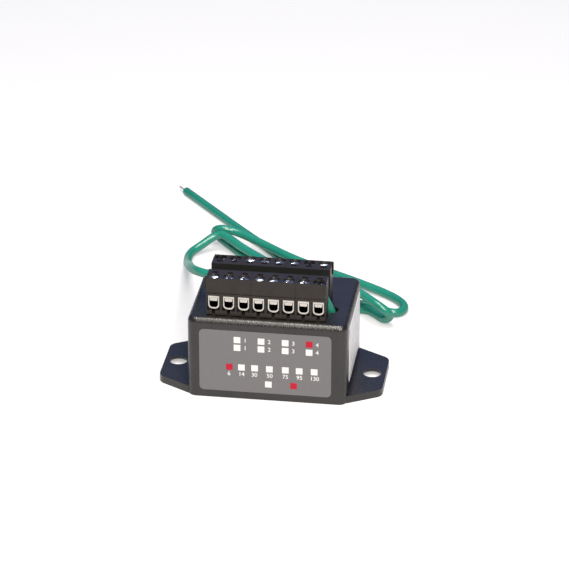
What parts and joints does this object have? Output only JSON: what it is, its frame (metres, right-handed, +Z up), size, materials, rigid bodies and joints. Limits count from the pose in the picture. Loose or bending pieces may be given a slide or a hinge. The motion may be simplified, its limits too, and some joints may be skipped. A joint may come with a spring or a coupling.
{
  "type": "whole house surge protector",
  "caption": "Potted surge protector box with mounting ears, two rows of screw terminals on top and a long green ground wire.",
  "frame": {"origin": "on the floor under the middle of the housing", "axes": "+X along the terminal rows and through both ears, +Y from the labelled front to the back, +Z up"},
  "size_m": [0.1002, 0.169, 0.0432],
  "materials": {
    "housing_plastic": "fine moulded texture",
    "block_plastic": "fine moulded texture",
    "potting": "cast resin",
    "board": "solder mask",
    "diode_plastic": "moulded epoxy",
    "clamp_tin": "tin plated",
    "bar_tin": "tin plated",
    "screw_steel": "zinc plated",
    "label_grey": "printed paper",
    "label_white": "printed paper",
    "wire_green": "smooth extruded insulation",
    "strand_copper": "tinned copper strands"
  },
  "bodies": {
    "base": {"housing": "housing_plastic", "potting_compound": "potting", "circuit_board": "board", "suppressor_diodes": "diode_plastic", "terminal_block_front_left": "block_plastic", "terminal_block_front_centre": "block_plastic", "terminal_block_front_right": "block_plastic", "terminal_block_rear_left": "block_plastic", "terminal_block_rear_centre": "block_plastic", "terminal_block_rear_right": "block_plastic", "contact_bars_front_left": "bar_tin", "contact_bars_front_centre": "bar_tin", "contact_bars_front_right": "bar_tin", "contact_bars_rear_left": "bar_tin", "contact_bars_rear_centre": "bar_tin", "contact_bars_rear_right": "bar_tin", "front_label": "label_grey", "side_label": "label_white", "ground_wire_tail": "wire_green", "ground_wire": "wire_green", "ground_wire_strands": "strand_copper"},
    "screw_front_1": {"clamp_screw_front_1": "screw_steel"},
    "clamp_front_1": {"wire_clamp_front_1": "clamp_tin"},
    "screw_front_2": {"clamp_screw_front_2": "screw_steel"},
    "clamp_front_2": {"wire_clamp_front_2": "clamp_tin"},
    "screw_front_3": {"clamp_screw_front_3": "screw_steel"},
    "clamp_front_3": {"wire_clamp_front_3": "clamp_tin"},
    "screw_front_4": {"clamp_screw_front_4": "screw_steel"},
    "clamp_front_4": {"wire_clamp_front_4": "clamp_tin"},
    "screw_front_5": {"clamp_screw_front_5": "screw_steel"},
    "clamp_front_5": {"wire_clamp_front_5": "clamp_tin"},
    "screw_front_6": {"clamp_screw_front_6": "screw_steel"},
    "clamp_front_6": {"wire_clamp_front_6": "clamp_tin"},
    "screw_front_7": {"clamp_screw_front_7": "screw_steel"},
    "clamp_front_7": {"wire_clamp_front_7": "clamp_tin"},
    "screw_front_8": {"clamp_screw_front_8": "screw_steel"},
    "clamp_front_8": {"wire_clamp_front_8": "clamp_tin"},
    "screw_rear_1": {"clamp_screw_rear_1": "screw_steel"},
    "clamp_rear_1": {"wire_clamp_rear_1": "clamp_tin"},
    "screw_rear_2": {"clamp_screw_rear_2": "screw_steel"},
    "clamp_rear_2": {"wire_clamp_rear_2": "clamp_tin"},
    "screw_rear_3": {"clamp_screw_rear_3": "screw_steel"},
    "clamp_rear_3": {"wire_clamp_rear_3": "clamp_tin"},
    "screw_rear_4": {"clamp_screw_rear_4": "screw_steel"},
    "clamp_rear_4": {"wire_clamp_rear_4": "clamp_tin"},
    "screw_rear_5": {"clamp_screw_rear_5": "screw_steel"},
    "clamp_rear_5": {"wire_clamp_rear_5": "clamp_tin"},
    "screw_rear_6": {"clamp_screw_rear_6": "screw_steel"},
    "clamp_rear_6": {"wire_clamp_rear_6": "clamp_tin"},
    "screw_rear_7": {"clamp_screw_rear_7": "screw_steel"},
    "clamp_rear_7": {"wire_clamp_rear_7": "clamp_tin"},
    "screw_rear_8": {"clamp_screw_rear_8": "screw_steel"},
    "clamp_rear_8": {"wire_clamp_rear_8": "clamp_tin"}
  },
  "joints": [
    {"name": "turn_front_1", "type": "hinge", "parent": "base", "child": "screw_front_1", "pos_m": [-0.01855, -0.01475, 0.0412], "axis": [0, 0, -1], "range_deg": [0, 1600]},
    {"name": "lift_front_1", "type": "slide", "parent": "base", "child": "clamp_front_1", "axis": [0, 0, 1], "range_m": [0, 0.002]},
    {"name": "turn_front_2", "type": "hinge", "parent": "base", "child": "screw_front_2", "pos_m": [-0.01347, -0.01475, 0.0412], "axis": [0, 0, -1], "range_deg": [0, 1600]},
    {"name": "lift_front_2", "type": "slide", "parent": "base", "child": "clamp_front_2", "axis": [0, 0, 1], "range_m": [0, 0.002]},
    {"name": "turn_front_3", "type": "hinge", "parent": "base", "child": "screw_front_3", "pos_m": [-0.00839, -0.01475, 0.0412], "axis": [0, 0, -1], "range_deg": [0, 1600]},
    {"name": "lift_front_3", "type": "slide", "parent": "base", "child": "clamp_front_3", "axis": [0, 0, 1], "range_m": [0, 0.002]},
    {"name": "turn_front_4", "type": "hinge", "parent": "base", "child": "screw_front_4", "pos_m": [-0.00331, -0.01475, 0.0412], "axis": [0, 0, -1], "range_deg": [0, 1600]},
    {"name": "lift_front_4", "type": "slide", "parent": "base", "child": "clamp_front_4", "axis": [0, 0, 1], "range_m": [0, 0.002]},
    {"name": "turn_front_5", "type": "hinge", "parent": "base", "child": "screw_front_5", "pos_m": [0.00177, -0.01475, 0.0412], "axis": [0, 0, -1], "range_deg": [0, 1600]},
    {"name": "lift_front_5", "type": "slide", "parent": "base", "child": "clamp_front_5", "axis": [0, 0, 1], "range_m": [0, 0.002]},
    {"name": "turn_front_6", "type": "hinge", "parent": "base", "child": "screw_front_6", "pos_m": [0.00685, -0.01475, 0.0412], "axis": [0, 0, -1], "range_deg": [0, 1600]},
    {"name": "lift_front_6", "type": "slide", "parent": "base", "child": "clamp_front_6", "axis": [0, 0, 1], "range_m": [0, 0.002]},
    {"name": "turn_front_7", "type": "hinge", "parent": "base", "child": "screw_front_7", "pos_m": [0.01193, -0.01475, 0.0412], "axis": [0, 0, -1], "range_deg": [0, 1600]},
    {"name": "lift_front_7", "type": "slide", "parent": "base", "child": "clamp_front_7", "axis": [0, 0, 1], "range_m": [0, 0.002]},
    {"name": "turn_front_8", "type": "hinge", "parent": "base", "child": "screw_front_8", "pos_m": [0.01701, -0.01475, 0.0412], "axis": [0, 0, -1], "range_deg": [0, 1600]},
    {"name": "lift_front_8", "type": "slide", "parent": "base", "child": "clamp_front_8", "axis": [0, 0, 1], "range_m": [0, 0.002]},
    {"name": "turn_rear_1", "type": "hinge", "parent": "base", "child": "screw_rear_1", "pos_m": [-0.01855, -0.00015, 0.0412], "axis": [0, 0, -1], "range_deg": [0, 1600]},
    {"name": "lift_rear_1", "type": "slide", "parent": "base", "child": "clamp_rear_1", "axis": [0, 0, 1], "range_m": [0, 0.002]},
    {"name": "turn_rear_2", "type": "hinge", "parent": "base", "child": "screw_rear_2", "pos_m": [-0.01347, -0.00015, 0.0412], "axis": [0, 0, -1], "range_deg": [0, 1600]},
    {"name": "lift_rear_2", "type": "slide", "parent": "base", "child": "clamp_rear_2", "axis": [0, 0, 1], "range_m": [0, 0.002]},
    {"name": "turn_rear_3", "type": "hinge", "parent": "base", "child": "screw_rear_3", "pos_m": [-0.00839, -0.00015, 0.0412], "axis": [0, 0, -1], "range_deg": [0, 1600]},
    {"name": "lift_rear_3", "type": "slide", "parent": "base", "child": "clamp_rear_3", "axis": [0, 0, 1], "range_m": [0, 0.002]},
    {"name": "turn_rear_4", "type": "hinge", "parent": "base", "child": "screw_rear_4", "pos_m": [-0.00331, -0.00015, 0.0412], "axis": [0, 0, -1], "range_deg": [0, 1600]},
    {"name": "lift_rear_4", "type": "slide", "parent": "base", "child": "clamp_rear_4", "axis": [0, 0, 1], "range_m": [0, 0.002]},
    {"name": "turn_rear_5", "type": "hinge", "parent": "base", "child": "screw_rear_5", "pos_m": [0.00177, -0.00015, 0.0412], "axis": [0, 0, -1], "range_deg": [0, 1600]},
    {"name": "lift_rear_5", "type": "slide", "parent": "base", "child": "clamp_rear_5", "axis": [0, 0, 1], "range_m": [0, 0.002]},
    {"name": "turn_rear_6", "type": "hinge", "parent": "base", "child": "screw_rear_6", "pos_m": [0.00685, -0.00015, 0.0412], "axis": [0, 0, -1], "range_deg": [0, 1600]},
    {"name": "lift_rear_6", "type": "slide", "parent": "base", "child": "clamp_rear_6", "axis": [0, 0, 1], "range_m": [0, 0.002]},
    {"name": "turn_rear_7", "type": "hinge", "parent": "base", "child": "screw_rear_7", "pos_m": [0.01193, -0.00015, 0.0412], "axis": [0, 0, -1], "range_deg": [0, 1600]},
    {"name": "lift_rear_7", "type": "slide", "parent": "base", "child": "clamp_rear_7", "axis": [0, 0, 1], "range_m": [0, 0.002]},
    {"name": "turn_rear_8", "type": "hinge", "parent": "base", "child": "screw_rear_8", "pos_m": [0.01701, -0.00015, 0.0412], "axis": [0, 0, -1], "range_deg": [0, 1600]},
    {"name": "lift_rear_8", "type": "slide", "parent": "base", "child": "clamp_rear_8", "axis": [0, 0, 1], "range_m": [0, 0.002]}
  ],
  "couplings": [
    {"joint": "turn_front_1", "follows": "lift_front_1", "rad_per_m": 13963},
    {"joint": "turn_front_2", "follows": "lift_front_2", "rad_per_m": 13963},
    {"joint": "turn_front_3", "follows": "lift_front_3", "rad_per_m": 13963},
    {"joint": "turn_front_4", "follows": "lift_front_4", "rad_per_m": 13963},
    {"joint": "turn_front_5", "follows": "lift_front_5", "rad_per_m": 13963},
    {"joint": "turn_front_6", "follows": "lift_front_6", "rad_per_m": 13963},
    {"joint": "turn_front_7", "follows": "lift_front_7", "rad_per_m": 13963},
    {"joint": "turn_front_8", "follows": "lift_front_8", "rad_per_m": 13963},
    {"joint": "turn_rear_1", "follows": "lift_rear_1", "rad_per_m": 13963},
    {"joint": "turn_rear_2", "follows": "lift_rear_2", "rad_per_m": 13963},
    {"joint": "turn_rear_3", "follows": "lift_rear_3", "rad_per_m": 13963},
    {"joint": "turn_rear_4", "follows": "lift_rear_4", "rad_per_m": 13963},
    {"joint": "turn_rear_5", "follows": "lift_rear_5", "rad_per_m": 13963},
    {"joint": "turn_rear_6", "follows": "lift_rear_6", "rad_per_m": 13963},
    {"joint": "turn_rear_7", "follows": "lift_rear_7", "rad_per_m": 13963},
    {"joint": "turn_rear_8", "follows": "lift_rear_8", "rad_per_m": 13963}
  ]
}
